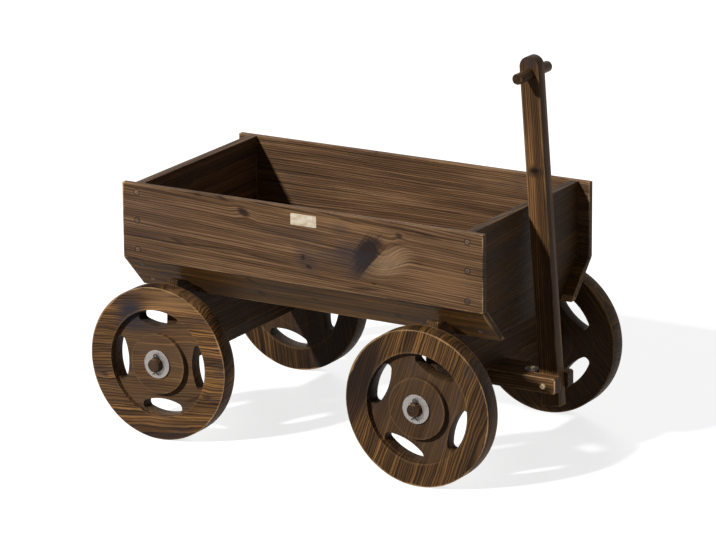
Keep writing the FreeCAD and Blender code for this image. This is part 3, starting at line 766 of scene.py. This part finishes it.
# A split pin is one round wire, bent into an eye above the dowel and forked below it.
PIN_WIRE = [(-6.5, -18.8), (-2.4, -16.8), (-1.3, -12.5), (-1.3, 0), (-1.3, 11), (-1.6, 13),
            (-3.6, 15), (-3.0, 19), (0, 20), (3.0, 19), (3.6, 15), (1.6, 13),
            (1.3, 11), (1.3, 0), (1.3, -12.5), (2.4, -16.8), (6.5, -18.8)]
wire = bpy.data.curves.new("pin_wire", "CURVE")
wire.dimensions = "3D"
wire.bevel_depth = 1.35 * MM
wire.bevel_resolution = 3
wire.use_fill_caps = True
line = wire.splines.new("NURBS")
line.points.add(len(PIN_WIRE) - 1)
for point, (across, up) in zip(line.points, PIN_WIRE):
    point.co = (across * MM, 0, up * MM, 1)
line.order_u = 3
line.use_endpoint_u = True
line.resolution_u = 4
bent = bpy.data.objects.new("pin_wire", wire)
pin = bmesh.new()
pin.from_mesh(bpy.data.meshes.new_from_object(bent))
bpy.data.objects.remove(bent)
joined_up(pin)
for face in pin.faces:
    face.smooth = len(face.verts) == 4
pin_places = [Matrix.Translation(Vector((x, 266.2 * side, AXLE_UP)) * MM)
              for x in AXLES for side in (1, -1)]
finished("split_pins_bent", repeated(pin, pin_places), "cart", dark_steel, "zinc_steel",
         "split_pins")

# ---------------------------------------------------------------- bare plate


def plate_finish():
    """A pale lacquered plate, a little rubbed and yellowed."""
    finish = Finish("plate_lacquer")
    at = finish.place()
    rubbed = finish.noise(at, (60, 60, 130), 2.0, 4.0, 0.6)
    skin = finish.ramp(rubbed, [(0.35, colour(224, 212, 192)), (0.55, colour(204, 186, 160)),
                                (0.75, colour(168, 144, 116))])
    return finish.shine({"Specular IOR Level": 0.3}, {
        "Base Color": skin, "Roughness": 0.35 + rubbed * 0.3}, rubbed, 0.00008)


plate = block(Vector((6, -SIDE_FACE - 0.3, 444)) * MM, (54, 1.0, 21.5))
bevelled(plate, [edge for edge in plate.edges
                 if abs(edge.verts[0].co.y - edge.verts[1].co.y) > 1e-4], 2 * MM, 4)
finished("bare_plate", ease(plate, 0.25 * MM), "cart", plate_finish(), "zinc_steel")

# ---------------------------------------------------------------- studio


def stage_finish():
    """A pale floor that the camera sees as near white, with the shadow kept."""
    finish = Finish("studio_floor")
    seen = finish.field("ShaderNodeLightPath", {}, {}, 0)
    glossy = finish.field("ShaderNodeLightPath", {}, {}, 3)
    direct = seen.most(glossy)
    tint = finish.mix(direct, (0.22, 0.22, 0.22, 1), (0.48, 0.48, 0.48, 1))
    glow = finish.mix(direct, (0, 0, 0, 1), (0.78, 0.78, 0.78, 1))
    surface = finish.field("ShaderNodeBsdfPrincipled", {}, {
        "Base Color": tint, "Roughness": 0.9, "Specular IOR Level": 0.0,
        "Emission Color": glow, "Emission Strength": 1.0})
    finish.node("ShaderNodeOutputMaterial", {}, {"Surface": surface})
    return finish.material


ground = bmesh.new()
bmesh.ops.create_circle(ground, cap_ends=True, radius=18, segments=64)
floor_mesh = bpy.data.meshes.new("studio_floor")
ground.to_mesh(floor_mesh)
ground.free()
floor_mesh.materials.append(stage_finish())
placed("studio_floor", floor_mesh)

world = bpy.data.worlds.new("studio_air")
world.use_nodes = True
nodes, links = world.node_tree.nodes, world.node_tree.links
nodes.clear()
rays = nodes.new("ShaderNodeLightPath")
straight = nodes.new("ShaderNodeMath")
straight.operation = "MAXIMUM"
links.new(rays.outputs["Is Camera Ray"], straight.inputs[0])
links.new(rays.outputs["Is Glossy Ray"], straight.inputs[1])
level = nodes.new("ShaderNodeMapRange")
level.inputs["To Min"].default_value = 0.09
level.inputs["To Max"].default_value = 1.0
links.new(straight.outputs[0], level.inputs["Value"])
air = nodes.new("ShaderNodeBackground")
links.new(level.outputs[0], air.inputs["Strength"])
air.inputs["Color"].default_value = (1, 1, 1, 1)
links.new(air.outputs[0], nodes.new("ShaderNodeOutputWorld").inputs["Surface"])
bpy.context.scene.world = world


def lamp(name, toward, energy, spread, gloss):
    """A broad far lamp in a direction seen from the object, with or without its gloss."""
    light = bpy.data.lights.new(name, "SUN")
    light.energy = energy
    light.angle = math.radians(spread)
    stand = placed(name, light)
    stand.rotation_euler = toward.to_track_quat("Z", "Y").to_euler()
    stand.location = toward * 5
    stand.visible_glossy = gloss


lamp("key_light", Vector((-0.345, -0.79, 0.553)).normalized(), 3.55, 3.5, True)
lamp("back_light", Vector((-0.45, 0.80, 0.38)).normalized(), 1.5, 25, False)

# ---------------------------------------------------------------- camera

# The camera stands as it did for the photograph, tipped a little about its own axis.
azimuth, elevation, tip = (math.radians(angle) for angle in (30.524, 16.328, -0.513))
right = Vector((math.cos(azimuth), math.sin(azimuth), 0))
back = Vector((math.sin(azimuth) * math.cos(elevation),
               -math.cos(azimuth) * math.cos(elevation), math.sin(elevation)))
up = back.cross(right)
camera = bpy.data.cameras.new("camera")
camera.lens = 210.35
camera.sensor_width = 36
camera.clip_end = 100
viewer = placed("camera", camera)
axes = Matrix((right * math.cos(tip) + up * math.sin(tip),
               up * math.cos(tip) - right * math.sin(tip), back)).transposed()
viewer.matrix_world = Matrix.Translation((3.7532, -6.3732, 2.4640)) @ axes.to_4x4()
bpy.context.scene.camera = viewer
bpy.context.scene.view_settings.view_transform = "Standard"
